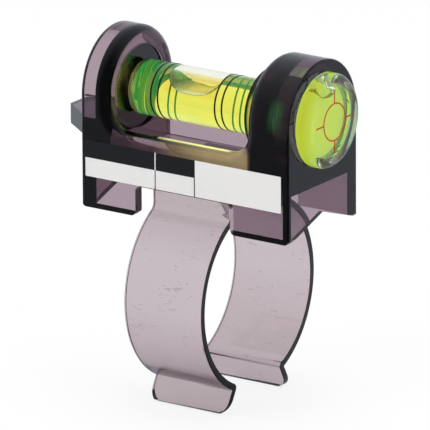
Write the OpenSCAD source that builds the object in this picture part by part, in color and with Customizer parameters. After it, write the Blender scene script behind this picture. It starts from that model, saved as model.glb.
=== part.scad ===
// Spirit level that clips onto the round neck of a drill, in millimetres.
// X runs along the drill and the tube vial, from the thumb tab to the round vial.
// Z is up. The origin is on the axis of the clip, in the middle of its width.

/* [Drill clip] */
// Diameter of the drill neck that the clip holds
neck_d = 45; // [42:0.5:47]
// Width of the clip along the drill
clip_w = 22.4; // [16:0.2:25]
// Thickness of the clip strip
clip_t = 1.7; // [1.2:0.1:2.2]
// Angle from the bottom of the ring to each fold, in degrees
fold_deg = 27.5; // [22:0.5:34]
// Length of a lead-in lip below its fold
lip_len = 6.0; // [4:0.1:8]
// Outward lean of a lip, in degrees
lip_flare = 29; // [8:0.5:34]
// Corner radius at the ends of a lip
lip_corner_r = 3.6; // [1:0.1:5]
// Radius of the round on the drill side of each fold
fold_r = 1.2; // [0.4:0.1:1.6]
// Radius of the bend between an arm neck and the ring
bend_r = 2.2; // [1:0.1:3]
// Thickness of the base plate that joins the two arms
base_t = 1.6; // [1.2:0.1:2]

/* [Body] */
// Length of the body without the tab and the round vial
body_l = 60; // [58:0.5:66]
// Width of the body, also the diameter of the tower arches
body_w = 29.4; // [28.4:0.1:31]
// Height of the tube vial's axis over the feet
axis_h = 27.8; // [27.2:0.1:30]
// Thickness of the front and rear walls
wall_t = 2.7; // [2:0.1:3.2]
// Thickness of the end wall under the thumb tab
left_end_t = 3.3; // [2:0.1:4]
// Thickness of the end wall under the round vial
right_end_t = 2.6; // [2:0.1:4]
// Height of the trough's floor over the feet
floor_h = 12.7; // [12.2:0.1:14]
// Thickness of the trough's floor
floor_t = 1.3; // [1:0.1:1.6]
// Radius of the outer edges of the two end faces
end_edge_r = 0.5; // [0.3:0.1:1.2]
// Depth of the pocket in the end face over the tab
pocket_depth = 3.2; // [1:0.1:3.4]
// Height of the pocket's floor over the tab
pocket_rise = 0.7; // [0.3:0.1:2]

/* [Window] */
// Thickness of the tower on the tab side
left_tower_t = 7.5; // [6.8:0.1:9]
// Thickness of the tower that holds the round vial
right_tower_t = 12.5; // [11.5:0.1:15]
// Height of the window's sill over the feet
sill_h = 20.1; // [19.6:0.1:20.7]
// Radius of the window's lower corners
window_corner_r = 5.4; // [3:0.1:6]
// Radius of the rounded edge all round the window
window_edge_r = 2.5; // [1.5:0.1:2.7]

/* [Feet] */
// Length of the foot on the tab side
left_foot_l = 15.7; // [13:0.1:17]
// Length of the foot under the round vial
right_foot_l = 16.8; // [13:0.1:18]
// Height of the notch between the feet
notch_h = 7.6; // [6:0.1:7.8]
// Corner radius of the feet and the notch
foot_corner_r = 1.3; // [0.5:0.1:2.5]
// Height of the V seat's ridge over the feet
vee_h = 4.9; // [3.5:0.1:6]
// Half width of the V seat at the feet
vee_half_w = 14.4; // [12:0.1:14.6]

/* [Thumb tab] */
// Length that the tab stands out of the end
tab_l = 11.6; // [8:0.1:15]
// Width of the tab where it leaves the end
tab_w = 23.8; // [20:0.2:26]
// Thickness of the tab
tab_t = 5.0; // [3:0.1:6]
// Height of the tab's lower face over the feet
tab_h = 16.3; // [14:0.1:18]
// Taper of each side of the tab, in degrees
tab_taper = 37; // [25:1:40]
// Corner radius of the tab's nose
tab_nose_r = 2.5; // [1:0.1:3]
// Radius of the nose's upper and lower edges
tab_edge_r = 1.0; // [0.5:0.1:1.4]

/* [Tube vial] */
// Outer diameter of the clear barrel
barrel_d = 13.6; // [12.5:0.1:14.5]
// Diameter of the bore that holds the liquid
chamber_d = 10.6; // [9:0.1:11.5]
// Gap between the tower on the tab side and the shoulder at the barrel's closed end
barrel_gap = 0.5; // [0.2:0.1:1.2]
// Diameter of the spigot that the closed end stands in its socket with
spigot_d = 5.0; // [3:0.1:8]
// Depth of the spigot in its socket
spigot_seat = 1.6; // [1:0.1:2]
// Thickness of the barrel's closed end
barrel_end_t = 1.2; // [0.8:0.1:3]
// Length of the plug in the barrel's open end
plug_l = 4.0; // [3:0.1:6]
// Diameter of the round recess at one tower and of the collar at the other
recess_d = 20.6; // [18:0.1:22]
// Depth of the recess in the tower on the tab side
recess_depth = 1.5; // [1.2:0.1:1.8]
// Thickness of the black seat disc in the recess
seat_t = 0.8; // [0.5:0.1:1.1]
// Length of the collar on the tower that holds the round vial
collar_l = 3.1; // [2:0.1:4]
// Distance from the tab end to the middle of the level marks
marks_x = 25.2; // [24:0.1:27]
// Distance between the two inner marks
inner_marks = 16.6; // [14:0.1:18]
// Distance from an inner mark to its outer mark
mark_step = 2.0; // [1.5:0.1:2.6]
// Width of a mark
mark_w = 0.45; // [0.3:0.05:0.8]
// Thickness of a mark
mark_t = 0.08; // [0.05:0.01:0.15]
// Length of the bubble
bubble_l = 15.2; // [10:0.1:18]
// Depth of the bubble under the top of the bore
bubble_depth = 4.5; // [3:0.1:6]
// Radius of the bubble's underside and ends
bubble_r = 4.4; // [3.5:0.1:5]

/* [Round vial] */
// Diameter of the round vial
lens_d = 23.2; // [22:0.1:24]
// Distance that the round vial stands out of the end
lens_proud = 3.4; // [2:0.1:4.5]
// Depth that the round vial goes into its tower
lens_seat = 5.6; // [4:0.1:7]
// Radius of the round vial's front edge
lens_edge_r = 2.0; // [1:0.1:2.5]
// Diameter of the round chamber
cell_d = 18.0; // [16:0.1:19]
// Thickness of the lens over the middle of the chamber
lens_t = 2.2; // [1.6:0.1:3]
// Radius of the hollow under the lens
dome_r = 60; // [45:1:90]
// Thickness of the disc that closes the chamber
disc_t = 1.5; // [1:0.1:2]
// Diameter of the round vial's bubble
cell_bubble_d = 4.4; // [3:0.1:5]
// Diameter of the target ring
target_d = 9.15; // [7:0.05:11]
// Line width of the target
target_w = 0.36; // [0.25:0.01:0.6]
// Thickness of the target's print
target_t = 0.08; // [0.05:0.01:0.15]
// Distance from the middle to the tip of each target tick
tick_reach = 7.8; // [6:0.1:9]

/* [Label] */
// Length of the label
label_l = 57.2; // [50:0.2:58]
// Height of the label
label_w = 9.1; // [7:0.1:9.4]
// Thickness of the label film
label_t = 0.16; // [0.1:0.02:0.3]
// Depth of the label's recess in the front wall
label_inset = 0.08; // [0.04:0.02:0.1]
// Distance from the tab end to the label
label_x = 0.7; // [0.4:0.1:1]
// Height of the label's lower edge over the feet
label_h = 7.8; // [7.8:0.1:8.4]

/* [Clearances] */
// Gap round a barrel, lens, plug or disc in its bore
fit_gap = 0.05; // [0.02:0.01:0.1]
// Gap between a liquid and the wall that holds it
fill_gap = 0.02; // [0.01:0.01:0.05]
// Gap between the clip's upright necks and the inside of the walls
clip_gap = 0.3; // [0.1:0.1:1.5]
// Thickness of liquid left between a bubble and the wall over it
bubble_film = 0.2; // [0.1:0.05:0.4]

/* [Hidden] */
$fn = 96;
// Facets of the widest circles
wide_fn = 192;
// Overlap of cutting tools past the surfaces that they open
over = 1;
// Length that a lip reaches back into the ring
lip_root = 0.5;
// Share of a corner's distance from the axis at which a cut is safely inside the ring
inside = 0.95;

neck_r = neck_d / 2;
ring_r = neck_r + clip_t;
vee_deg = atan(vee_h / vee_half_w);
// The V faces touch the drill neck, which puts the feet at this height
foot_z = neck_r / cos(vee_deg) - vee_h;
left_x = -body_l / 2;
right_x = body_l / 2;
arch_r = body_w / 2;
axis_z = foot_z + axis_h;
floor_z = foot_z + floor_h;
hollow_z = floor_z - floor_t;
hollow_w = body_w - 2 * wall_t;
window_x0 = left_x + left_tower_t;
window_x1 = right_x - right_tower_t;
sill_z = foot_z + sill_h;
barrel_r = barrel_d / 2;
barrel_x0 = window_x0 + barrel_gap;
socket_x = window_x0 - recess_depth;
lens_back_x = right_x - lens_seat;
lens_front_x = right_x + lens_proud;
barrel_x1 = lens_back_x - fit_gap;
chamber_x = barrel_x0 + barrel_end_t;
cell_front_x = lens_front_x - lens_t;
cell_back_x = lens_back_x + disc_t;
marks_mid = left_x + marks_x;
clip_half = hollow_w / 2 - clip_gap;
base_z0 = hollow_z - base_t;

// A shape drawn across the level, Y to the right and Z up, pulled along X
module along_x(x0, x1) {
  translate([x0, 0, 0]) rotate([90, 0, 90]) linear_extrude(x1 - x0) children();
}

// A shape drawn on the side view, X to the right and Z up, pulled along Y
module along_y(y0, y1) {
  translate([0, y1, 0]) rotate([90, 0, 0]) linear_extrude(y1 - y0) children();
}

// A profile with its distance from the vial axis to the right and X up, turned about that axis
module about_axis(turn = 360) {
  translate([0, 0, axis_z]) rotate([0, 90, 0]) rotate([0, 0, 180 - turn / 2])
    rotate_extrude(angle = turn) children();
}

module disc(x0, x1, r) {
  translate([x0, 0, axis_z]) rotate([0, 90, 0]) cylinder(h = x1 - x0, r = r);
}

// The waste between a sharp corner at the origin and its round, cut past both faces
module round_waste(r) {
  difference() {
    translate([-over, -over]) square(r + over);
    translate([r, r]) circle(r);
  }
}

// Rounds the outer edge of a cross face: over the arch and down both sides to low_z
module side_edge_waste(x, inward, r, low_z) {
  translate([x, 0, 0]) scale([inward, 1, 1]) {
    about_axis(180) translate([arch_r, 0]) mirror([1, 0]) round_waste(r);
    for (side = [0, 1]) mirror([0, side, 0])
      translate([0, -arch_r, low_z]) linear_extrude(axis_z - low_z) round_waste(r);
  }
}

// The window: an opening with round lower corners, and a rounded edge on both faces
module window_waste() {
  corner_z = sill_z + window_corner_r;
  along_y(-arch_r - over, arch_r + over) {
    translate([window_x0, corner_z]) square([window_x1 - window_x0, arch_r * 2]);
    translate([window_x0 + window_corner_r, sill_z])
      square([window_x1 - window_x0 - 2 * window_corner_r, arch_r]);
    for (x = [window_x0 + window_corner_r, window_x1 - window_corner_r])
      translate([x, corner_z]) circle(window_corner_r);
  }
  side_edge_waste(window_x0, -1, window_edge_r, corner_z);
  side_edge_waste(window_x1, 1, window_edge_r, corner_z);
  for (side = [0, 1]) mirror([0, side, 0]) {
    along_x(window_x0 + window_corner_r, window_x1 - window_corner_r)
      translate([-arch_r, sill_z]) mirror([0, 1]) round_waste(window_edge_r);
    for (end = [0, 1]) {
      x = end == 0 ? window_x0 + window_corner_r : window_x1 - window_corner_r;
      translate([x, -arch_r, corner_z]) rotate([-90, 0, 0])
        rotate([0, 0, end == 0 ? 90 : 0]) rotate_extrude(angle = 90)
          translate([window_corner_r, 0]) round_waste(window_edge_r);
    }
  }
}

// Side view of the notch between the feet, with round corners above and on the feet
module notch_outline() {
  x0 = left_x + left_foot_l;
  x1 = right_x - right_foot_l;
  r = foot_corner_r;
  difference() {
    translate([x0, foot_z - over]) square([x1 - x0, notch_h + over]);
    for (end = [0, 1]) translate([end == 0 ? x0 : x1, foot_z + notch_h])
      mirror([end, 0]) mirror([0, 1]) round_corner(r);
  }
  for (end = [0, 1]) translate([end == 0 ? x0 : x1, foot_z])
    mirror([1 - end, 0]) round_waste(r);
}

// What a round of radius r leaves in a square inner corner at the origin
module round_corner(r) {
  difference() {
    square(r);
    translate([r, r]) circle(r);
  }
}

// Side view of the outer corners of the feet
module foot_corner_waste() {
  r = foot_corner_r;
  translate([left_x, foot_z]) round_waste(r);
  translate([right_x, foot_z]) mirror([1, 0]) round_waste(r);
}

// Plan of the tab: straight tapered sides run into a nose with two round corners
module tab_plan() {
  nose_x = tab_l - tab_nose_r;
  side_x = nose_x + tab_nose_r * sin(tab_taper);
  nose_y = tab_w / 2 - tab_nose_r * cos(tab_taper) - side_x * tan(tab_taper);
  side_y = nose_y + tab_nose_r * cos(tab_taper);
  polygon([[-over, -tab_w / 2], [0, -tab_w / 2], [side_x, -side_y], [tab_l, -nose_y],
    [tab_l, nose_y], [side_x, side_y], [0, tab_w / 2], [-over, tab_w / 2]]);
  for (side = [-1, 1]) translate([nose_x, side * nose_y]) circle(tab_nose_r);
}

module thumb_tab() {
  nose_x = left_x - tab_l;
  low_z = foot_z + tab_h;
  intersection() {
    translate([left_x, 0, low_z]) mirror([1, 0, 0]) linear_extrude(tab_t) tab_plan();
    along_y(-tab_w / 2, tab_w / 2) difference() {
      translate([nose_x, low_z]) square([tab_l + over, tab_t]);
      translate([nose_x, low_z]) round_waste(tab_edge_r);
      translate([nose_x, low_z + tab_t]) mirror([0, 1]) round_waste(tab_edge_r);
    }
  }
}

// The arched pocket in the end face over the tab, with a flat floor
module end_pocket_waste() {
  along_x(left_x - over, left_x + pocket_depth) intersection() {
    union() {
      translate([0, axis_z]) circle(hollow_w / 2);
      translate([-hollow_w / 2, foot_z]) square([hollow_w, axis_h]);
    }
    translate([-arch_r, foot_z + tab_h + tab_t + pocket_rise]) square(body_w);
  }
}

// The smoked body: two arched towers, the window and trough, the hollow underneath,
// the feet with their V seats, and the bores for both vials
module body_housing() {
  color([0.42, 0.36, 0.4, 0.75]) {
    difference() {
      along_x(left_x, right_x) {
        translate([-arch_r, foot_z]) square([body_w, axis_h]);
        translate([0, axis_z]) circle(arch_r);
      }
      window_waste();
      translate([window_x0, -hollow_w / 2, floor_z])
        cube([window_x1 - window_x0, hollow_w, body_w]);
      translate([left_x + left_end_t, -hollow_w / 2, foot_z - over])
        cube([body_l - left_end_t - right_end_t, hollow_w, hollow_z - foot_z + over]);
      along_x(left_x - over, right_x + over)
        polygon([[0, foot_z + vee_h], [-vee_half_w, foot_z],
          [-vee_half_w, foot_z - over], [vee_half_w, foot_z - over], [vee_half_w, foot_z]]);
      along_y(-arch_r - over, arch_r + over) {
        notch_outline();
        foot_corner_waste();
      }
      end_pocket_waste();
      side_edge_waste(left_x, 1, end_edge_r, foot_z - over);
      side_edge_waste(right_x, -1, end_edge_r, foot_z - over);
      disc(socket_x - spigot_seat, window_x0, spigot_d / 2 + fit_gap);
      disc(socket_x, window_x0 + over, recess_d / 2);
      disc(window_x1 - over, right_x, barrel_r + fit_gap);
      disc(lens_back_x, right_x + over, lens_d / 2 + fit_gap);
      translate([left_x + label_x, -arch_r - over, foot_z + label_h])
        cube([label_l, over + label_inset, label_w]);
    }
    difference() {
      disc(window_x1 - collar_l, window_x1 + over, recess_d / 2);
      disc(window_x1 - collar_l - over, window_x1 + 2 * over, barrel_r + fit_gap);
    }
    thumb_tab();
  }
}

// Cross shape of one clip arm on the +Y side: neck, bend, ring and lip
module arm_outline() {
  neck_in = clip_half - clip_t;
  // Heights at which the neck's outer and inner faces meet the ring's
  out_z = sqrt(ring_r * ring_r - clip_half * clip_half);
  neck_z = sqrt(neck_r * neck_r - neck_in * neck_in);
  // The fillet in the outer corner touches the neck's face and the ring's outside
  fillet_y = clip_half + bend_r;
  fillet_z = sqrt((ring_r + bend_r) * (ring_r + bend_r) - fillet_y * fillet_y);
  touch = ring_r / (ring_r + bend_r);
  fold = [ring_r * sin(fold_deg), -ring_r * cos(fold_deg)];
  down = [sin(lip_flare), -cos(lip_flare)];
  across = [-cos(lip_flare), -sin(lip_flare)];
  // The ring ends at the plane of the lip's inner face
  inner = fold + clip_t * across;
  // Distance of that plane from the clip's axis
  plane = inner * across;
  // Place where it meets the ring's inside
  corner = plane * across + sqrt(neck_r * neck_r - plane * plane) * down;
  // The round on the drill side touches the ring's inside and that plane
  round_out = neck_r + fold_r;
  round_across = plane - fold_r;
  middle = round_across * across
    + sqrt(round_out * round_out - round_across * round_across) * down;
  far = 2 * ring_r;
  difference() {
    union() {
      difference() {
        circle(ring_r, $fn = wide_fn);
        polygon([[0, 0], [0, far], [neck_in * far / out_z, far]]);
        polygon([[0, 0], inner - ring_r / 2 * down, inner + far * down, [-far, -far],
          [-far, far], [0, far]]);
      }
      translate([neck_in, 0]) square([clip_t, base_z0 + base_t]);
      difference() {
        polygon([[neck_in, 0], [fillet_y, fillet_z] * touch, [fillet_y, fillet_z],
          [clip_half, fillet_z]]);
        translate([fillet_y, fillet_z]) circle(bend_r);
      }
      polygon([fold - lip_root * down, fold + lip_len * down, inner + lip_len * down,
        inner - lip_root * down]);
    }
    circle(neck_r, $fn = wide_fn);
    difference() {
      polygon([middle, middle * neck_r / round_out, corner * inside,
        middle + (fold_r + over) * across]);
      translate(middle) circle(fold_r);
    }
    // The bend's inner face keeps the strip's thickness
    difference() {
      polygon([[fillet_y, fillet_z], [fillet_y, fillet_z] * neck_r / (ring_r + bend_r),
        [neck_in, neck_z] * inside, [neck_in - over, fillet_z]]);
      translate([fillet_y, fillet_z]) circle(bend_r + clip_t);
    }
  }
}

// The spring clip, one strip: a base plate under the trough's floor, two arms and two lips
module drill_clip() {
  lip_z = -ring_r * cos(fold_deg) - lip_len * cos(lip_flare) - clip_t * sin(lip_flare);
  color([0.78, 0.74, 0.77, 0.7]) intersection() {
    union() {
      for (side = [0, 1]) mirror([0, side, 0]) along_x(-clip_w / 2, clip_w / 2) arm_outline();
      translate([-clip_w / 2, clip_t / 2 - clip_half, base_z0])
        cube([clip_w, 2 * clip_half - clip_t, base_t]);
    }
    along_y(-2 * ring_r, 2 * ring_r) {
      translate([-clip_w / 2, lip_z + lip_corner_r])
        square([clip_w, hollow_z - lip_z - lip_corner_r]);
      translate([lip_corner_r - clip_w / 2, lip_z])
        square([clip_w - 2 * lip_corner_r, lip_corner_r + over]);
      for (side = [-1, 1]) translate([side * (clip_w / 2 - lip_corner_r), lip_z + lip_corner_r])
        circle(lip_corner_r);
    }
  }
}

// The black disc in the recess, which the barrel's spigot passes through
module vial_seat() {
  color([0.08, 0.08, 0.09]) difference() {
    disc(socket_x, socket_x + seat_t, recess_d / 2 - fit_gap);
    disc(socket_x - over, window_x0, spigot_d / 2 + fit_gap);
  }
}

// The clear barrel of the tube vial, bored from the end next to the round vial
module vial_barrel() {
  color([0.85, 0.95, 0.85, 0.45]) difference() {
    union() {
      disc(barrel_x0, barrel_x1, barrel_r);
      disc(socket_x - spigot_seat + fit_gap, barrel_x0 + over, spigot_d / 2);
    }
    disc(chamber_x, barrel_x1 + over, chamber_d / 2);
  }
}

module vial_plug() {
  color([0.9, 0.9, 0.88]) disc(barrel_x1 - plug_l, barrel_x1, chamber_d / 2 - fit_gap);
}

// The bubble lies along the top of its chamber, with a round underside and round ends
module tube_bubble() {
  top_r = chamber_d / 2 - fill_gap - bubble_film;
  z = axis_z + top_r - bubble_depth + bubble_r;
  half = bubble_l / 2 - bubble_r;
  intersection() {
    disc(marks_mid - bubble_l, marks_mid + bubble_l, top_r);
    union() {
      translate([marks_mid - half, 0, z]) rotate([0, 90, 0])
        cylinder(h = 2 * half, r = bubble_r);
      for (side = [-1, 1]) translate([marks_mid + side * half, 0, z]) sphere(bubble_r);
    }
  }
}

module vial_liquid() {
  color([0.75, 0.9, 0.2, 0.8]) difference() {
    disc(chamber_x + fill_gap, barrel_x1 - plug_l - fill_gap,
      chamber_d / 2 - fill_gap);
    tube_bubble();
  }
}

// A level mark: a black band round the barrel, at a distance along from the middle
module mark(along) {
  color([0.06, 0.06, 0.06]) about_axis()
    translate([barrel_r, marks_mid + along - mark_w / 2]) square([mark_t, mark_w]);
}

module mark_outer_left() { mark(-inner_marks / 2 - mark_step); }
module mark_inner_left() { mark(-inner_marks / 2); }
module mark_inner_right() { mark(inner_marks / 2); }
module mark_outer_right() { mark(inner_marks / 2 + mark_step); }

// Half section of the round vial's chamber up to the shallow dome under the lens
module cell_section(r, x0, top_x) {
  intersection() {
    translate([0, x0]) square([r, top_x - x0]);
    translate([0, top_x - dome_r]) circle(dome_r, $fn = wide_fn);
  }
}

module round_vial_lens() {
  rim_x = lens_front_x - lens_edge_r;
  flat_r = lens_d / 2 - lens_edge_r;
  color([0.85, 0.95, 0.8, 0.45]) about_axis() difference() {
    union() {
      translate([0, lens_back_x + fit_gap])
        square([lens_d / 2, rim_x - lens_back_x - fit_gap]);
      translate([0, rim_x - over]) square([flat_r, lens_edge_r + over]);
      translate([flat_r, rim_x]) circle(lens_edge_r);
    }
    cell_section(cell_d / 2, lens_back_x - over, cell_front_x);
  }
}

module round_vial_disc() {
  color([0.92, 0.93, 0.9])
    disc(lens_back_x + fit_gap, cell_back_x, cell_d / 2 - fit_gap);
}

module round_vial_liquid() {
  dome_sag = dome_r - sqrt(dome_r * dome_r - cell_d * cell_d / 4);
  depth = cell_bubble_d / 2 + fill_gap + bubble_film;
  color([0.76, 0.86, 0.3, 0.85]) difference() {
    about_axis()
      cell_section(cell_d / 2 - fill_gap, cell_back_x + fill_gap, cell_front_x - fill_gap);
    translate([cell_front_x - dome_sag - depth, 0, axis_z + cell_d / 2 - depth])
      sphere(d = cell_bubble_d);
  }
}

// The target printed on the lens: a ring with four ticks outwards
module round_vial_target() {
  color([0.75, 0.22, 0.1]) translate([lens_front_x, 0, axis_z]) rotate([90, 0, 90])
    linear_extrude(target_t) {
      difference() {
        circle(d = target_d + target_w);
        circle(d = target_d - target_w);
      }
      for (turn = [0:90:270]) rotate(turn)
        translate([target_d / 2, -target_w / 2]) square([tick_reach - target_d / 2, target_w]);
    }
}

// The label film in its recess on the front wall, left without print
module front_label() {
  color([0.9, 0.9, 0.9])
    translate([left_x + label_x, label_inset - arch_r - label_t, foot_z + label_h])
      cube([label_l, label_t, label_w]);
}

body_housing();
drill_clip();
vial_seat();
vial_barrel();
vial_plug();
vial_liquid();
mark_outer_left();
mark_inner_left();
mark_inner_right();
mark_outer_right();
round_vial_lens();
round_vial_disc();
round_vial_liquid();
round_vial_target();
front_label();
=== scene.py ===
"""A smoked plastic spirit level on a spring clip for a drill's neck: looks, light and camera.

Lengths are millimetres in the part's frame until a mesh is filled, which takes metres. X runs
from the thumb tab to the round vial, the label faces -Y, and Z is up.
"""
import math

import bmesh
import bpy
import numpy as np
from mathutils import Matrix, Vector


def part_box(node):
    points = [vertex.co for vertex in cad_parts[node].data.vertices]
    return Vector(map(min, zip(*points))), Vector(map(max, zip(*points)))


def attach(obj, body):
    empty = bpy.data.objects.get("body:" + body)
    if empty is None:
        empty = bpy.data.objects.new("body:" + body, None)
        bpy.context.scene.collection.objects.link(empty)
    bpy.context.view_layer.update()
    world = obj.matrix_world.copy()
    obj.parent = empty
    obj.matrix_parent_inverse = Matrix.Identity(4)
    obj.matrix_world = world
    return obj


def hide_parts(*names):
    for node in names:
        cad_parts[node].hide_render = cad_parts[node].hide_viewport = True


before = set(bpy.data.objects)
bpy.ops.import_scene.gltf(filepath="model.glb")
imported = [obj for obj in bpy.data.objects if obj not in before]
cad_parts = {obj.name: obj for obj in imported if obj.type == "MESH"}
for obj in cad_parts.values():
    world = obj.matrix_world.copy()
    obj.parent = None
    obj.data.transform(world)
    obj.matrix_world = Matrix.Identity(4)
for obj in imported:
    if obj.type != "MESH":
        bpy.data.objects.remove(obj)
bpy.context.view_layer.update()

MM = 0.001


def node_box(name):
    """Lowest and highest corner of a CAD node, in millimetres."""
    low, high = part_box(name)
    return np.array(low) / MM, np.array(high) / MM


BODY_LOW, BODY_HIGH = node_box("body_housing")
BARREL_LOW, BARREL_HIGH = node_box("vial_barrel")
LIQUID_LOW, LIQUID_HIGH = node_box("vial_liquid")
LENS_LOW, LENS_HIGH = node_box("round_vial_lens")
CELL_LOW, CELL_HIGH = node_box("round_vial_liquid")
LABEL_LOW, LABEL_HIGH = node_box("front_label")

# Both vials lie on one axis, along X at this height
AXIS_Z = (BARREL_LOW[2] + BARREL_HIGH[2]) / 2
END_X = BODY_HIGH[0]
FRONT_Y = BODY_LOW[1]
TAB_END_X = -END_X

# Tube vial: clearance round the liquid, barrel, spigot, shoulder and thin closed end
GAP = 0.02
BARREL_R = (BARREL_HIGH[2] - BARREL_LOW[2]) / 2
BORE_R = (LIQUID_HIGH[2] - LIQUID_LOW[2]) / 2 + GAP
SPIGOT_R = 2.5
SHOULDER_X = TAB_END_X + 8.0
BARREL_END = 0.6
BORE_END_R = 0.9
SHOULDER_EDGE = 0.7
BARREL_EDGE = 0.25

# The tube's bubble between the inner marks: length, depth, width against height, and how sharp
# the edge is between its flat top and its underside
BUBBLE_MID = (node_box("mark_inner_left")[0][0] + node_box("mark_inner_right")[1][0]) / 2
BUBBLE_LENGTH = 15.2
BUBBLE_TOP = BORE_R - 0.15
BUBBLE_DEPTH = 4.2
BUBBLE_SPREAD = 2.4
BUBBLE_EASE = 9.0
BUBBLE_BLUNT = 2.5

# Round vial: cap, domed chamber, and a bubble with half sizes along X, Y and Z
LENS_R = (LENS_HIGH[2] - LENS_LOW[2]) / 2
LENS_RIM = 2.0
LENS_BACK_EDGE = 0.2
CELL_EDGE = 0.1
CELL_R = (CELL_HIGH[2] - CELL_LOW[2]) / 2
DOME_R = 60.0
DROP_HALF = (2.0, 3.4, 1.7)
DROP_FORWARD = 0.3
DROP_UNDER = 1.9

# Body and clip: the collar round the barrel, the tower over the round vial, the window's sill,
# and the eased edges of the clip's strip
COLLAR_X = 14.4
TOWER_X = 17.5
SILL_Z = AXIS_Z - 7.7
CLIP_EDGE = 0.22

# Label: where its panels end along X, the top of its white strip, its rules and dark margin
PANEL_ENDS = (TAB_END_X + 21.45, TAB_END_X + 33.15)
STRIP_TOP = BODY_LOW[2] + 12.5
RULE = 0.3
MARGIN = 0.5
PRINT_EDGE = 0.01

# Faces within this of a place count as lying there
NEAR = 0.01

# Tools for materials


def linear(code, strength=1.0):
    """The linear RGBA of an sRGB hex code, times a strength."""
    parts = [int(code[i:i + 2], 16) / 255 for i in (1, 3, 5)]
    parts = [c / 12.92 if c <= 0.04045 else ((c + 0.055) / 1.055) ** 2.4 for c in parts]
    return [strength * c for c in parts] + [1.0]


WHITE = linear("#ffffff")
NO_LIGHT = linear("#000000")


def add(tree, kind, inputs=None, stops=(), **settings):
    """Adds a node: sets its properties and colour stops, and sets or links each named input."""
    made = tree.nodes.new(kind)
    for name, value in settings.items():
        setattr(made, name, value)
    for name, value in (inputs or {}).items():
        socket = made.inputs[name]
        if isinstance(value, bpy.types.NodeSocket):
            tree.links.new(value, socket)
        else:
            socket.default_value = value
    for i, (at, colour) in enumerate(stops):
        marks = made.color_ramp.elements
        mark = marks[i] if i < len(marks) else marks.new(at)
        mark.position, mark.color = at, colour
    return made


def new_material(name):
    """An empty material with its output node: returns the material, its tree and the output."""
    material = bpy.data.materials.new(name)
    material.use_nodes = True
    material.node_tree.nodes.clear()
    return material, material.node_tree, add(material.node_tree, "ShaderNodeOutputMaterial")


def finish_material(tree, output, surface, volume=None):
    """Links the surface and the volume to a material's output."""
    tree.links.new(surface, output.inputs["Surface"])
    if volume is not None:
        tree.links.new(volume, output.inputs["Volume"])


def place(tree):
    """Object coordinates in millimetres, as one vector and as X, Y and Z."""
    metres = add(tree, "ShaderNodeTexCoord").outputs["Object"]
    coords = add(tree, "ShaderNodeVectorMath", {0: metres, "Scale": 1 / MM},
                 operation="SCALE").outputs["Vector"]
    return coords, add(tree, "ShaderNodeSeparateXYZ", {0: coords}).outputs


def lay(tree, base, colour, *edges, share=1.0, blend="LINEAR"):
    """Lays a colour over a base colour in a soft-edged patch.

    Each edge is (value, none, whole): none of the colour shows where the value is at none, and
    its whole share where the value is at whole.
    """
    for value, none, whole in edges:
        share = add(tree, "ShaderNodeMapRange", {
            "Value": value, "From Min": none, "From Max": whole, "To Max": share},
            interpolation_type=blend).outputs["Result"]
    return add(tree, "ShaderNodeMix", {"Factor": share, "A": base, "B": colour},
               data_type="RGBA").outputs["Result"]


def band(value, middle, none, whole):
    """Both edges of a band, as distances from its middle at which none and all of it shows."""
    return (value, middle - none, middle - whole), (value, middle + none, middle + whole)


def tinted_solid(tree, left, depth):
    """A clear tinted solid: left is the colour that a depth of it leaves of white light."""
    taken = [-math.log(part) / (depth * MM) for part in linear(left)[:3]]
    most = max(taken)
    colour = [1 - rate / most for rate in taken] + [1.0]
    return add(tree, "ShaderNodeVolumeAbsorption",
               {"Color": colour, "Density": most}).outputs["Volume"]


# Finishes

# What 3 mm of smoked polycarbonate leaves of white light: mauve in thin walls, and near black in
# thick ones. What 10 mm of the dyed liquid leaves is yellow.
WALL_DEPTH = 3.0
BODY_SMOKE = "#ab99a3"
CLIP_SMOKE = "#b0a0a9"
DYE_DEPTH = 10.0
DYE = "#f5d860"
# Painted green glow of the dye at each face of the liquid
PAINTED_DYE_GLOW = "#0a632f"
# Strength of the painted glow on the round vial's pale disc, for the light it gathers from the dye
PAINTED_DISC_GLOW = 0.38
# Painted reflection of studio light on the underside of the tube's bubble
PAINTED_UNDERSIDE_REFLECTION = 0.45
# Strength of the painted glows that stand in for the vials' light in the body: in the collar and at
# its rim, as streaks in the tower, and on the sill's lip and as a highlight line along its top
COLLAR_GLOW = 0.8
COLLAR_RIM_GLOW = 0.56
STREAK_GLOW = 1.5
LIP_GLOW = 0.28
LINE_GLOW = 0.98
# Middle of the streaks in the tower, and how far from it they end and are whole. The collar's
# glow ends and is whole at such distances over and under the vials' axis.
STREAK_X = 26.0
STREAK_Z = AXIS_Z + 4.6
STREAKS_WIDE = (2.4, 0.4)
STREAKS_HIGH = (5.5, 2.0)
COLLAR_HIGH = (6.5, 4.5)
# Where along X the light on the sill begins and is whole: its tint, its lip's glow and its line,
# where the line is whole and ends, and the slow gain of the line towards the round vial
TINT_X = (-12, -2)
LIP_X = (-9, 6)
LINE_X = (-12, -6)
LINE_END_X = (12.5, 11)
LINE_GAIN_X = (-46.5, 6)
# Heights of the clip's lips and base plate, between which its tint changes
CLIP_HEIGHTS = (-28, 22)
# Noise levels at which a rub mark, and a patch of them, begins and is whole
RUB_EDGE = (0.635, 0.645)
RUB_PATCH_EDGE = (0.555, 0.565)
POLYCARBONATE_IOR = 1.58
ACRYLIC_IOR = 1.49
ACETAL_IOR = 1.55
SPIRIT_IOR = 1.43
# The liquid's outer face adds no bend of its own, because the wetted bore around it has it all
NO_BEND_IOR = 1.001


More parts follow.
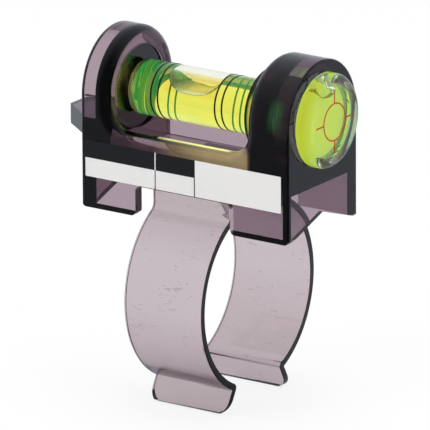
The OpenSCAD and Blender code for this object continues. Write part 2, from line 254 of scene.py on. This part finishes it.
def painted_vial_glow(tree, coords, at, sill):
    """Painted glow for the vials' light in the smoke: streaks in the tower, the collar, and the
    sill's lip.
    """
    # Painted green glow in streaks near the front face of the tower over the round vial, 0.9 mm
    # apart
    upright = add(tree, "ShaderNodeVectorMath", {0: coords, 1: (1, 0.2, 0.12)},
                  operation="MULTIPLY").outputs["Vector"]
    streaks = add(tree, "ShaderNodeTexNoise", {"Vector": upright, "Scale": 1 / 0.9})
    strands = add(tree, "ShaderNodeMath", {0: streaks.outputs["Fac"], 1: 3.0}, operation="POWER")
    light = lay(tree, NO_LIGHT, linear("#3fa352", STREAK_GLOW),
                *band(at["X"], STREAK_X, *STREAKS_WIDE), *band(at["Z"], STREAK_Z, *STREAKS_HIGH),
                (at["Y"], FRONT_Y + 2.2, FRONT_Y + 0.7), share=strands.outputs["Value"])
    # Painted yellow glow with a green rim in the collar, in a ring round the barrel, cut off above
    # and below
    across = add(tree, "ShaderNodeVectorMath", {0: coords, 1: (0, 1, 1)}, operation="MULTIPLY")
    from_axis = add(tree, "ShaderNodeVectorMath", {
        0: across.outputs["Vector"], 1: (0, 0, AXIS_Z)}, operation="DISTANCE").outputs["Value"]
    ring = ((from_axis, BARREL_R + 0.7, BARREL_R + 0.9),
            (from_axis, BARREL_R + 4.2, BARREL_R + 3.8),
            (at["X"], COLLAR_X + 0.5, COLLAR_X + 1.0), (at["X"], TOWER_X - 0.1, TOWER_X - 0.6),
            *band(at["Z"], AXIS_Z, *COLLAR_HIGH))
    light = lay(tree, light, linear("#3fa352", COLLAR_RIM_GLOW), *ring)
    light = lay(tree, light, linear("#b3ac36", COLLAR_GLOW), *ring, *ring)
    # Painted soft olive glow on the sill's rounded lip, more towards the round vial, and a painted
    # highlight line along its top
    light = lay(tree, light, linear("#c6bc84", LIP_GLOW), *sill, (at["X"], *LIP_X),
                (at["X"], TOWER_X + 0.9, TOWER_X + 0.4), (at["Z"], SILL_Z - 6.5, SILL_Z - 2.0))
    return lay(tree, light, linear("#e8ec9c", LINE_GLOW), *sill, (at["X"], *LINE_X),
               (at["X"], LIP_X[0] - 0.1, LIP_X[0]), (at["X"], *LINE_END_X),
               (at["X"], *LINE_GAIN_X), (at["Z"], SILL_Z - 0.16, SILL_Z - 0.08))


def smoked_body():
    """Injection moulded smoked polycarbonate: a mirror-smooth face, a faint long ripple, painted
    vial light.
    """
    material, tree, output = new_material("smoked polycarbonate, injection moulded")
    coords, at = place(tree)
    # Flow ripple of the moulding, 9 mm across
    ripple = add(tree, "ShaderNodeTexNoise", {"Vector": coords, "Scale": 1 / 9, "Detail": 1.0})
    bump = add(tree, "ShaderNodeBump", {"Height": ripple.outputs["Fac"], "Strength": 0.03,
                                        "Distance": 0.2 * MM})
    # Painted yellow light of the vial over it, as a tint on the front wall from its sill down to
    # the label
    sill = ((at["Z"], SILL_Z + 1.7, SILL_Z + 0.2), (at["Z"], SILL_Z - 6.8, SILL_Z - 5.8),
            (at["Y"], FRONT_Y + 4.7, FRONT_Y + 3.2))
    tint = lay(tree, WHITE, linear("#ede0ae"), *sill, (at["X"], *TINT_X),
               (at["X"], BARREL_HIGH[0] - 3, BARREL_HIGH[0] - 6))
    surface = add(tree, "ShaderNodeBsdfPrincipled", {
        "Base Color": tint, "Roughness": 0.03, "IOR": POLYCARBONATE_IOR,
        "Transmission Weight": 1.0, "Normal": bump.outputs["Normal"],
        "Emission Color": painted_vial_glow(tree, coords, at, sill), "Emission Strength": 1.0})
    finish_material(tree, output, surface.outputs["BSDF"],
                    tinted_solid(tree, BODY_SMOKE, WALL_DEPTH))
    return material


def smoked_clip():
    """Smoked polycarbonate spring strip: clear, with the faint rub marks that a neck leaves."""
    material, tree, output = new_material("smoked polycarbonate, scuffed spring")
    coords, at = place(tree)
    # Greyer towards the lips and at the top, under the body
    height = add(tree, "ShaderNodeMapRange", {
        "Value": at["Z"], "From Min": CLIP_HEIGHTS[0], "From Max": CLIP_HEIGHTS[1]})
    tint = add(tree, "ShaderNodeValToRGB", {"Fac": height.outputs["Result"]}, stops=[
        (0.0, linear("#efebea")), (0.3, linear("#f3efee")), (0.55, WHITE),
        (0.8, WHITE), (0.95, linear("#f1eeed"))]).outputs["Color"]
    # Rub marks in patches 7 mm across. Real ones are hairlines, and 0.8 mm lets them show.
    stretched = add(tree, "ShaderNodeVectorMath", {0: coords, 1: (0.35, 1.0, 1.6)},
                    operation="MULTIPLY").outputs["Vector"]
    rubs = add(tree, "ShaderNodeTexNoise", {"Vector": stretched, "Scale": 1 / 0.8, "Detail": 3.0})
    where = add(tree, "ShaderNodeTexNoise", {"Vector": coords, "Scale": 1 / 7})
    tint = lay(tree, tint, linear("#dcd6d6"), (rubs.outputs["Fac"], *RUB_EDGE),
               (where.outputs["Fac"], *RUB_PATCH_EDGE))
    # Handling haze, 6 mm across
    haze = add(tree, "ShaderNodeTexNoise", {"Vector": coords, "Scale": 1 / 6, "Detail": 4.0})
    roughness = add(tree, "ShaderNodeMapRange", {
        "Value": haze.outputs["Fac"], "From Min": 0.35, "From Max": 0.75,
        "To Min": 0.03, "To Max": 0.12}).outputs["Result"]
    surface = add(tree, "ShaderNodeBsdfPrincipled", {
        "Base Color": tint, "Roughness": roughness, "IOR": POLYCARBONATE_IOR,
        "Transmission Weight": 1.0})
    finish_material(tree, output, surface.outputs["BSDF"],
                    tinted_solid(tree, CLIP_SMOKE, WALL_DEPTH))
    return material


def clear_acrylic(name, ior):
    """Turned and polished acrylic: water clear, with a mirror-smooth face."""
    material, tree, output = new_material(name)
    surface = add(tree, "ShaderNodeBsdfPrincipled", {
        "Base Color": linear("#fbfdf8"), "Roughness": 0.01, "IOR": ior,
        "Transmission Weight": 1.0})
    finish_material(tree, output, surface.outputs["BSDF"])
    return material


def level_spirit(name, glow):
    """Dyed level liquid: clear yellow against white, with a painted green glow that shows alone
    against black.
    """
    material, tree, output = new_material(name)
    _, at = place(tree)
    # The painted glow is less in the thin liquid over and beside the bubble
    half = BUBBLE_LENGTH / 2
    low = AXIS_Z + BORE_R - BUBBLE_DEPTH
    light = lay(tree, linear(PAINTED_DYE_GLOW, glow), NO_LIGHT,
                *band(at["X"], BUBBLE_MID, half + 0.6, half - 0.6), (at["Z"], low, low + 1.0))
    surface = add(tree, "ShaderNodeBsdfPrincipled", {
        "Base Color": WHITE, "Roughness": 0.0, "IOR": NO_BEND_IOR, "Transmission Weight": 1.0,
        "Emission Color": light, "Emission Strength": 1.0})
    finish_material(tree, output, surface.outputs["BSDF"], tinted_solid(tree, DYE, DYE_DEPTH))
    return material


def bubble_skin():
    """The face of an air bubble in the liquid: clear, with a painted reflection along its
    underside.
    """
    material, tree, output = new_material("air bubble in level spirit")
    _, at = place(tree)
    top = AXIS_Z + BUBBLE_TOP
    light = lay(tree, NO_LIGHT, linear("#e4f2d8", PAINTED_UNDERSIDE_REFLECTION),
                (at["Z"], top - 0.6 * BUBBLE_DEPTH, top - BUBBLE_DEPTH))
    surface = add(tree, "ShaderNodeBsdfPrincipled", {
        "Base Color": WHITE, "Roughness": 0.0, "IOR": SPIRIT_IOR, "Transmission Weight": 1.0,
        "Emission Color": light, "Emission Strength": 1.0})
    finish_material(tree, output, surface.outputs["BSDF"])
    return material


def pale_plastic(name, glow):
    """White moulded acetal: matt, with a painted glow of dye light, doubled on the label's side."""
    material, tree, output = new_material(name)
    coords, at = place(tree)
    # Mould grain, drawn 0.4 mm across so that it shows
    grain = add(tree, "ShaderNodeTexNoise", {"Vector": coords, "Scale": 1 / 0.4})
    bump = add(tree, "ShaderNodeBump", {"Height": grain.outputs["Fac"], "Strength": 0.1,
                                        "Distance": 0.02 * MM})
    # Painted glow, doubled towards the label's side
    light = lay(tree, linear("#daffcc", glow), linear("#daffcc", 2 * glow), (at["Y"], -3, -9))
    surface = add(tree, "ShaderNodeBsdfPrincipled", {
        "Base Color": linear("#e4eed8"), "Roughness": 0.45, "Normal": bump.outputs["Normal"],
        "Emission Color": light, "Emission Strength": 1.0})
    finish_material(tree, output, surface.outputs["BSDF"])
    return material


def printed(name, colour, roughness):
    """Printing ink on acrylic, also used as painted shade: an even satin tone, thinner in patches
    0.8 mm across.
    """
    material, tree, output = new_material(name)
    coords, _ = place(tree)
    ink = add(tree, "ShaderNodeTexNoise", {"Vector": coords, "Scale": 1 / 0.8})
    strength = add(tree, "ShaderNodeMath", {0: ink.outputs["Fac"], 1: 0.5}, operation="ADD")
    tone = add(tree, "ShaderNodeHueSaturation", {
        "Color": linear(colour), "Value": strength.outputs["Value"]})
    surface = add(tree, "ShaderNodeBsdfPrincipled", {
        "Base Color": tone.outputs["Color"], "Roughness": roughness})
    finish_material(tree, output, surface.outputs["BSDF"])
    return material


def polished_disc():
    """Polished black acetal behind the tube's closed end: glossy, with a painted olive reflection
    up front.
    """
    material, tree, output = new_material("black acetal, polished")
    _, at = place(tree)
    # Painted olive reflection of the vial, above the axis on the label's side
    colour = lay(tree, linear("#0c0c0e"), linear("#4a4524"),
                 (at["Z"], AXIS_Z + 1, AXIS_Z + 4), (at["Y"], -3, -6))
    surface = add(tree, "ShaderNodeBsdfPrincipled", {
        "Base Color": colour, "Roughness": 0.05, "IOR": ACETAL_IOR})
    finish_material(tree, output, surface.outputs["BSDF"])
    return material


def seated_end():
    """The barrel's closed end against the disc: dark, with a painted streaky yellow glow."""
    material, tree, output = new_material("acrylic end against the disc, painted yellow glow")
    coords, _ = place(tree)
    # Painted glow in upright streaks, 0.9 mm across
    stretched = add(tree, "ShaderNodeVectorMath", {0: coords, 1: (1, 1, 0.15)},
                    operation="MULTIPLY").outputs["Vector"]
    streaks = add(tree, "ShaderNodeTexNoise", {"Vector": stretched, "Scale": 1 / 0.9})
    colour = add(tree, "ShaderNodeValToRGB", {"Fac": streaks.outputs["Fac"]}, stops=[
        (0.4, linear("#0b0c06")), (0.56, linear("#55571a")), (0.7, linear("#d8cf5a"))])
    surface = add(tree, "ShaderNodeBsdfPrincipled", {
        "Base Color": linear("#101008"), "Roughness": 0.4,
        "Emission Color": colour.outputs["Color"], "Emission Strength": 0.6})
    finish_material(tree, output, surface.outputs["BSDF"])
    return material


def label_film():
    """Printed polyester film: two black panels over a white strip, and a white panel, all blank."""
    material, tree, output = new_material("printed polyester film, blank panels")
    coords, at = place(tree)
    # The dark panels, margin and rules, each from x0 to x1 and z0 to z1, on the white film
    start, bottom, top = LABEL_LOW[0] - 1, LABEL_LOW[2] - 1, LABEL_HIGH[2] + 1
    first, second = PANEL_ENDS
    colour = linear("#ecebea")
    for x0, x1, z0, z1 in (
            (start, LABEL_LOW[0] + MARGIN, bottom, top), (start, first, STRIP_TOP, top),
            (first + RULE, second, STRIP_TOP, top), (first, first + RULE, bottom, STRIP_TOP),
            (second - RULE, second, bottom, STRIP_TOP)):
        wide, high = (x1 - x0) / 2, (z1 - z0) / 2
        colour = lay(tree, colour, linear("#17181c"),
                     *band(at["X"], x0 + wide, wide + PRINT_EDGE, wide - PRINT_EDGE),
                     *band(at["Z"], z0 + high, high + PRINT_EDGE, high - PRINT_EDGE))
    # The film's grain, drawn 0.5 mm across so that it shows
    grain = add(tree, "ShaderNodeTexNoise", {"Vector": coords, "Scale": 1 / 0.5})
    bump = add(tree, "ShaderNodeBump", {"Height": grain.outputs["Fac"], "Strength": 0.05,
                                        "Distance": 0.02 * MM})
    surface = add(tree, "ShaderNodeBsdfPrincipled", {
        "Base Color": colour, "Roughness": 0.38, "Normal": bump.outputs["Normal"]})
    finish_material(tree, output, surface.outputs["BSDF"])
    return material


MATERIALS = {
    "body": smoked_body(),
    "clip": smoked_clip(),
    "acrylic": clear_acrylic("clear acrylic, turned and polished", ACRYLIC_IOR),
    "wet": clear_acrylic("clear acrylic, wetted bore", ACRYLIC_IOR / SPIRIT_IOR),
    "spirit": level_spirit("dyed level spirit", 1.0),
    "bubble": bubble_skin(),
    # Half the painted glow in the round vial's liquid
    "round spirit": level_spirit("dyed level spirit, thin, half painted glow", 0.5),
    "plug": pale_plastic("white acetal, moulded", 0.0),
    "disc": pale_plastic("white acetal, painted dye glow", PAINTED_DISC_GLOW),
    "seat": polished_disc(),
    # Painted streaky yellow glow on the barrel's closed end
    "seated": seated_end(),
    # Painted shade on the vials' sides inside the body
    "painted_shade_grip": printed("acrylic side in the smoked bore, painted shade", "#5b6350", 0.4),
    "black": printed("black screen print", "#101012", 0.35),
    "red": printed("red pad print", "#c0391b", 0.4),
    "label": label_film(),
}

# Shapes


def fill_mesh(name, points, faces, materials, face_slots=None, sharp=35.0):
    """A mesh piece from an array of points in millimetres and an array of faces.

    Doubled points are merged, normals point outwards, and edges over the sharp angle stay crisp.
    """
    mesh = bpy.data.meshes.new(name)
    mesh.from_pydata((points * MM).tolist(), [], faces.tolist())
    for material in materials:
        mesh.materials.append(material)
    if face_slots is not None:
        mesh.polygons.foreach_set("material_index", np.asarray(face_slots, np.int32))
    shape = bmesh.new()
    shape.from_mesh(mesh)
    bmesh.ops.remove_doubles(shape, verts=shape.verts, dist=1e-7)
    bmesh.ops.dissolve_degenerate(shape, edges=shape.edges, dist=1e-8)
    bmesh.ops.recalc_face_normals(shape, faces=shape.faces)
    shape.to_mesh(mesh)
    shape.free()
    mesh.shade_smooth()
    mesh.set_sharp_from_angle(angle=math.radians(sharp))
    piece = bpy.data.objects.new(name, mesh)
    bpy.context.scene.collection.objects.link(piece)
    return piece


def grid_faces(rows, columns, wrap_rows=False):
    """Quads of a grid of points, closed along its columns and, if wrapped, along its rows."""
    r, c = np.meshgrid(np.arange(rows if wrap_rows else rows - 1), np.arange(columns),
                       indexing="ij")
    r, c = r.ravel(), c.ravel()
    r2, c2 = (r + 1) % rows, (c + 1) % columns
    return np.stack([r * columns + c, r * columns + c2, r2 * columns + c2, r2 * columns + c], 1)


def rounded(corners, steps=6):
    """A closed outline from (r, x, radius) corners, where a corner with a radius is an arc.

    The arc touches both sides of its corner, at radius / tan(half the angle between them).
    """
    out = []
    for i, (r, x, radius) in enumerate(corners):
        here = np.array([r, x])
        if radius == 0:
            out.append(here)
            continue
        before = np.array(corners[i - 1][:2]) - here
        after = np.array(corners[(i + 1) % len(corners)][:2]) - here
        before /= np.linalg.norm(before)
        after /= np.linalg.norm(after)
        half = math.acos(np.clip(before @ after, -1, 1)) / 2
        middle = before + after
        middle = here + middle / np.linalg.norm(middle) * radius / math.sin(half)
        a = here + before * radius / math.tan(half) - middle
        b = here + after * radius / math.tan(half) - middle
        turn = math.acos(np.clip(a @ b / (a @ a), -1, 1))
        for t in np.linspace(0, 1, steps):
            way = a * math.sin((1 - t) * turn) + b * math.sin(t * turn)
            out.append(middle + way / math.sin(turn))
    return np.array(out)


def revolve(outline, columns):
    """Points and quads of an outline of (distance from the vials' axis, x), turned round it."""
    turn = np.linspace(0, 2 * np.pi, columns, endpoint=False)
    radius, x = outline[:, :1], outline[:, 1:]
    points = np.stack([x + 0 * turn, radius * np.cos(turn), AXIS_Z + radius * np.sin(turn)], -1)
    return points.reshape(-1, 3), grid_faces(len(outline), columns, wrap_rows=True)


def face_places(points, faces):
    """X, Y and distance from the vials' axis of the middle of every face."""
    x, y, z = points[faces].mean(axis=1).T
    return x, y, np.hypot(y, z - AXIS_Z)


def dome(roof, rim_r, steps=12):
    """Outline of a shallow dome of radius DOME_R, from its top at x = roof out to its rim."""
    turn = np.linspace(0, math.asin(rim_r / DOME_R), steps)
    return np.stack([DOME_R * np.sin(turn), roof - DOME_R + DOME_R * np.cos(turn)], 1)


def tube_bubble(rows=56, columns=72):
    """The tube vial's air bubble: the lower half of an ellipsoid of air under the top of the bore.

    At u = x / half its length the ellipsoid's section is an ellipse of half height
    BUBBLE_DEPTH * (1 - |u|**BUBBLE_BLUNT)**0.5, BUBBLE_SPREAD times as wide as high, round the
    top of the film. Each section is where that ellipse and the film's circle overlap, and the
    edge between them is eased by taking (t1**-p + t2**-p)**(-1/p) of the distances t1 and t2 to
    the two curves.
    """
    u = np.sin(np.linspace(-np.pi / 2, np.pi / 2, rows))[:, None]
    depth = BUBBLE_DEPTH * np.sqrt(np.maximum(1 - np.abs(u) ** BUBBLE_BLUNT, 1e-5))
    middle = BUBBLE_TOP - depth / 2
    turn = np.linspace(0, 2 * np.pi, columns, endpoint=False)
    across, up = np.cos(turn), np.sin(turn)

    def reach(centre, half_height, spread):
        """Distance from the middle, along each turn, to the ellipse about the centre."""
        a = (across / spread) ** 2 + up ** 2
        b = (middle - centre) * up
        c = (middle - centre) ** 2 - half_height ** 2
        return np.maximum((np.sqrt(np.maximum(b ** 2 - a * c, 0)) - b) / a, 1e-4)

    film, under = reach(0.0, BUBBLE_TOP, 1.0), reach(BUBBLE_TOP, depth, BUBBLE_SPREAD)
    out = (film ** -BUBBLE_EASE + under ** -BUBBLE_EASE) ** (-1 / BUBBLE_EASE)
    x = BUBBLE_MID + BUBBLE_LENGTH / 2 * u + 0 * turn
    points = np.stack([x, out * across, AXIS_Z + middle + out * up], -1)
    return points.reshape(-1, 3), grid_faces(rows, columns)


def round_bubble(rows=24, columns=48):
    """The round vial's air bubble: an ellipsoid of half sizes DROP_HALF, high in the chamber."""
    tilt = np.linspace(-np.pi / 2, np.pi / 2, rows)[:, None]
    turn = np.linspace(0, 2 * np.pi, columns, endpoint=False)
    middle_x = (CELL_HIGH[0] + CELL_LOW[0]) / 2 + DROP_FORWARD
    x = middle_x + DROP_HALF[0] * np.sin(tilt) + 0 * turn
    y = DROP_HALF[1] * np.cos(tilt) * np.cos(turn)
    z = AXIS_Z + CELL_R - DROP_UNDER + DROP_HALF[2] * np.cos(tilt) * np.sin(turn)
    return np.stack([x, y, z], -1).reshape(-1, 3), grid_faces(rows, columns)


# Pieces


def dress(node, key):
    """Gives a CAD node its finish."""
    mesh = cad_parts[node].data
    mesh.materials.clear()
    mesh.materials.append(MATERIALS[key])


def stand_for(piece, node):
    """The piece replaces a CAD node: the node is hidden and the piece hangs from the root."""
    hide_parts(node)
    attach(piece, "root")


def hollow_out(name, points, faces):
    """A bubble in a vial's liquid: a void, so that its faces look into the air."""
    void = fill_mesh(name, points, faces, [MATERIALS["bubble"]])
    void.data.flip_normals()
    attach(void, "root")


def make_barrel():
    """The clear barrel: a bored rod with a spigot, its bore finished as a wetted face."""
    bottom = SHOULDER_X + BARREL_END
    grip_x = COLLAR_X + 0.4
    points, faces = revolve(rounded([
        (0, BARREL_LOW[0], 0), (SPIGOT_R, BARREL_LOW[0], BARREL_EDGE),
        (SPIGOT_R, SHOULDER_X, BARREL_EDGE), (BARREL_R, SHOULDER_X, SHOULDER_EDGE),
        (BARREL_R, grip_x, 0), (BARREL_R, BARREL_HIGH[0], BARREL_EDGE),
        (BORE_R, BARREL_HIGH[0], 0), (BORE_R, bottom, BORE_END_R), (0, bottom, 0)]), 160)
    x, _, radius = face_places(points, faces)
    wet = (radius < BORE_R + NEAR) & (x > bottom - NEAR) & (x < BARREL_HIGH[0] - NEAR)
    # The spigot and shoulder take the painted streaky yellow glow
    seated = x < SHOULDER_X + NEAR
    # Painted shade on the barrel's side inside the collar and the tower
    painted_shade_grip = (radius > BARREL_R - BARREL_EDGE) & (x > grip_x)
    finishes = [MATERIALS[key] for key in ("acrylic", "wet", "seated", "painted_shade_grip")]
    piece = fill_mesh("tube_vial_barrel", points, faces, finishes, wet + 2 * seated + 3 * painted_shade_grip)
    stand_for(piece, "vial_barrel")


def make_tube_liquid():
    """The tube vial's liquid, which fills the bore from its rounded end to the plug."""
    bottom, end, radius = SHOULDER_X + BARREL_END + GAP, LIQUID_HIGH[0], BORE_R - GAP
    points, faces = revolve(
        rounded([(0, bottom, 0), (radius, bottom, BORE_END_R), (radius, end, 0), (0, end, 0)]), 128)
    piece = fill_mesh("tube_vial_liquid", points, faces, [MATERIALS["spirit"]])
    hollow_out("tube_vial_bubble", *tube_bubble())
    stand_for(piece, "vial_liquid")


def make_round_lens():
    """The round vial's lens: a thick cap with a rounded rim and a shallow domed chamber."""
    front, back, bore_r = LENS_HIGH[0], LENS_LOW[0], CELL_R + GAP
    shell = rounded([(0, front, 0), (LENS_R, front, LENS_RIM), (LENS_R, END_X, 0),
                     (LENS_R, back, LENS_BACK_EDGE), (bore_r, back, CELL_EDGE)], 8)
    points, faces = revolve(np.vstack([shell, dome(CELL_HIGH[0] + GAP, bore_r)[::-1]]), 160)
    x, y, radius = face_places(points, faces)
    wet = (radius < bore_r + NEAR) & (x > back + CELL_EDGE + LENS_BACK_EDGE) & (x < front - 0.5)
    # Painted shade on the rim's side inside the body, only on the side towards the label
    painted_shade_grip = (radius > LENS_R - 0.3) & (x < END_X) & (y < -0.45 * LENS_R)
    finishes = [MATERIALS[key] for key in ("acrylic", "wet", "painted_shade_grip")]
    piece = fill_mesh("round_vial_cap", points, faces, finishes, wet + 2 * painted_shade_grip)
    stand_for(piece, "round_vial_lens")


def make_round_liquid():
    """The round vial's liquid: a short cylinder with a domed front."""
    base = CELL_LOW[0]
    outline = np.vstack([dome(CELL_HIGH[0], CELL_R), [[CELL_R, base], [0, base]]])
    points, faces = revolve(outline, 128)
    piece = fill_mesh("round_vial_spirit", points, faces, [MATERIALS["round spirit"]])
    stand_for(piece, "round_vial_liquid")
    hollow_out("round_vial_bubble", *round_bubble())


def make_clip():
    """The clip's strip with its long edges eased, as a moulded strip's edges are."""
    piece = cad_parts["drill_clip"].copy()
    piece.data = piece.data.copy()
    piece.name = piece.data.name = "drill_clip_strip"
    bpy.context.scene.collection.objects.link(piece)
    shape = bmesh.new()
    shape.from_mesh(piece.data)
    bmesh.ops.remove_doubles(shape, verts=shape.verts, dist=1e-6)
    # Flat faces become one polygon each, so that their shading stays flat beside the eased edge
    bmesh.ops.dissolve_limit(shape, angle_limit=math.radians(0.4), verts=shape.verts,
                             edges=shape.edges)
    shape.to_mesh(piece.data)
    shape.free()
    piece.data.shade_smooth()
    piece.data.set_sharp_from_angle(angle=math.radians(35))
    ease = piece.modifiers.new("eased edges", "BEVEL")
    ease.width = CLIP_EDGE * MM
    ease.segments = 2
    ease.use_clamp_overlap = False
    ease.limit_method = "ANGLE"
    ease.angle_limit = math.radians(60)
    ease.harden_normals = True
    piece.data.materials.clear()
    piece.data.materials.append(MATERIALS["clip"])
    stand_for(piece, "drill_clip")


dress("body_housing", "body")
dress("vial_seat", "seat")
dress("vial_plug", "plug")
dress("round_vial_disc", "disc")
dress("round_vial_target", "red")
dress("front_label", "label")
for mark in ("mark_outer_left", "mark_inner_left", "mark_inner_right", "mark_outer_right"):
    dress(mark, "black")
make_clip()
make_barrel()
make_tube_liquid()
make_round_lens()
make_round_liquid()

# Floor, light and camera

FLOOR_SIZE = 4000.0
FLOOR_DROP = 0.05
FLOOR_GLOW = 0.85
# Level way to the backdrop behind the level, as the photograph looks at it. A mirror-smooth face
# shows a pale room that way and a dim one in front, and a clear one shows white and pale.
BACKDROP_WAY = (-0.567, 0.824, 0.0)
MIRROR_FRONT = -0.71
MIRROR_DIM = linear("#eef3ff", 0.08)
MIRROR_PALE = linear("#eef3ff", 0.85)
CLEAR_FRONT = -0.9
CLEAR_BACK = 0.1
CLEAR_PALE = [0.85, 0.85, 0.85, 1.0]
# Where the lamps aim: under the vials
LAMP_AIM = (0.0, 0.0, AXIS_Z - 20)


def ray_kinds(tree):
    """1 for camera rays, 1 for those and rays through something clear, and 1 for mirrored rays."""
    path = add(tree, "ShaderNodeLightPath").outputs
    seen = add(tree, "ShaderNodeMath", {
        0: path["Is Camera Ray"], 1: path["Is Transmission Ray"]}, operation="MAXIMUM")
    mirrored = add(tree, "ShaderNodeMath", {
        0: path["Is Glossy Ray"], 1: path["Is Transmission Ray"]}, operation="SUBTRACT",
        use_clamp=True)
    return path["Is Camera Ray"], seen.outputs["Value"], mirrored.outputs["Value"]


def room_views(tree, way):
    """The room in a direction, as seen through something clear and in a mirror-smooth face."""
    facing = add(tree, "ShaderNodeVectorMath", {0: way, 1: BACKDROP_WAY},
                 operation="DOT_PRODUCT").outputs["Value"]
    return (lay(tree, CLEAR_PALE, WHITE, (facing, CLEAR_FRONT, CLEAR_BACK), blend="SMOOTHSTEP"),
            lay(tree, MIRROR_DIM, MIRROR_PALE, (facing, MIRROR_FRONT, 1.0)))


def make_floor():
    """A plain pale floor that glows a little where it is seen, so that its shadow stays soft."""
    low, half = node_box("drill_clip")[0][2] - FLOOR_DROP, FLOOR_SIZE / 2
    mesh = bpy.data.meshes.new("floor")
    corners = np.array([[-half, -half, low], [half, -half, low], [half, half, low],
                        [-half, half, low]]) * MM
    mesh.from_pydata(corners.tolist(), [], [[0, 1, 2, 3]])
    material, tree, output = new_material("pale studio floor")
    camera, seen, mirrored = ray_kinds(tree)
    coords, _ = place(tree)
    way = add(tree, "ShaderNodeVectorMath", {0: coords}, operation="NORMALIZE").outputs["Vector"]
    clear, mirror = room_views(tree, way)
    paint = add(tree, "ShaderNodeBsdfDiffuse", {"Color": linear("#f6f6f6")}).outputs["BSDF"]
    light = add(tree, "ShaderNodeEmission", {"Color": lay(tree, clear, WHITE, share=camera)})
    share = add(tree, "ShaderNodeMath", {0: seen, 1: FLOOR_GLOW}, operation="MULTIPLY")
    seen_floor = add(tree, "ShaderNodeMixShader", {
        0: share.outputs["Value"], 1: paint, 2: light.outputs["Emission"]}).outputs["Shader"]
    dim = add(tree, "ShaderNodeEmission", {"Color": mirror}).outputs["Emission"]
    mixed = add(tree, "ShaderNodeMixShader", {0: mirrored, 1: seen_floor, 2: dim})
    finish_material(tree, output, mixed.outputs["Shader"])
    mesh.materials.append(material)
    floor = bpy.data.objects.new("floor", mesh)
    bpy.context.scene.collection.objects.link(floor)


def make_world():
    """A white surround where it is seen, a dim room in mirrors, and an even light otherwise."""
    world = bpy.data.worlds.new("studio")
    bpy.context.scene.world = world
    world.use_nodes = True
    tree = world.node_tree
    tree.nodes.clear()
    output = add(tree, "ShaderNodeOutputWorld")
    way = add(tree, "ShaderNodeTexCoord").outputs["Generated"]
    up = add(tree, "ShaderNodeSeparateXYZ", {0: way}).outputs["Z"]
    height = add(tree, "ShaderNodeMapRange", {"Value": up, "From Min": -1.0, "From Max": 1.0})
    levels = [(0.0, 0.45), (0.5, 0.3), (0.8, 0.3), (1.0, 0.8)]
    room = add(tree, "ShaderNodeValToRGB", {"Fac": height.outputs["Result"]},
               stops=[(at, [level, level, level, 1.0]) for at, level in levels])
    camera, seen, mirrored = ray_kinds(tree)
    clear, mirror = room_views(tree, way)
    light = lay(tree, room.outputs["Color"], clear, share=seen)
    light = lay(tree, light, WHITE, share=camera)
    light = lay(tree, light, mirror, share=mirrored)
    background = add(tree, "ShaderNodeBackground", {"Color": light, "Strength": 1.0})
    tree.links.new(background.outputs["Background"], output.inputs["Surface"])


def softbox(name, where, size, power):
    """A square area lamp that faces a place under the vials, and that no clear face shows."""
    data = bpy.data.lights.new(name, "AREA")
    data.size = size * MM
    data.energy = power
    lamp = bpy.data.objects.new(name, data)
    lamp.location = Vector(where) * MM
    lamp.visible_glossy = False
    lamp.visible_transmission = False
    lamp.rotation_mode = "QUATERNION"
    lamp.rotation_quaternion = (Vector(LAMP_AIM) - Vector(where)).to_track_quat("-Z", "Y")
    bpy.context.scene.collection.objects.link(lamp)


# Angles of the photograph in degrees, the distance that its perspective gives, and its scale
CAMERA_AZIMUTH = 34.531
CAMERA_ELEVATION = 17.225
CAMERA_ROLL = -0.331
CAMERA_DISTANCE = 2376.6
CAMERA_AIM = np.array([0.0, 0.0, 26.868])
CAMERA_SLIDE = (-0.97, -8.66)
PIXELS_PER_MM = 4.163
IMAGE_PIXELS = 430
SENSOR = 36.0


def make_camera():
    """The camera looks along -back; right and up complete its axes after the roll."""
    azimuth, elevation, roll = np.radians([CAMERA_AZIMUTH, CAMERA_ELEVATION, CAMERA_ROLL])
    right = np.array([np.cos(azimuth), np.sin(azimuth), 0.0])
    back = np.array([np.sin(azimuth) * np.cos(elevation), -np.cos(azimuth) * np.cos(elevation),
                     np.sin(elevation)])
    up = np.cross(back, right)
    right, up = (np.cos(roll) * right + np.sin(roll) * up, np.cos(roll) * up - np.sin(roll) * right)
    where = CAMERA_AIM + back * CAMERA_DISTANCE + CAMERA_SLIDE[0] * right + CAMERA_SLIDE[1] * up
    data = bpy.data.cameras.new("camera")
    data.sensor_width = SENSOR
    data.lens = PIXELS_PER_MM * CAMERA_DISTANCE / IMAGE_PIXELS * SENSOR
    data.clip_start, data.clip_end = 100 * MM, 20000 * MM
    camera = bpy.data.objects.new("camera", data)
    matrix = np.eye(4)
    matrix[:3] = np.stack([right, up, back, where * MM], 1)
    camera.matrix_world = Matrix(matrix.tolist())
    bpy.context.scene.collection.objects.link(camera)
    bpy.context.scene.camera = camera


make_floor()
make_world()
softbox("key softbox", (-500, -900, 900), 600, 6)
softbox("side softbox", (900, -300, 500), 500, 3)
softbox("top softbox", (0, 200, 1000), 800, 5)
make_camera()

scene = bpy.context.scene
scene.view_settings.view_transform = "Standard"
scene.cycles.max_bounces = 32
scene.cycles.transmission_bounces = 32
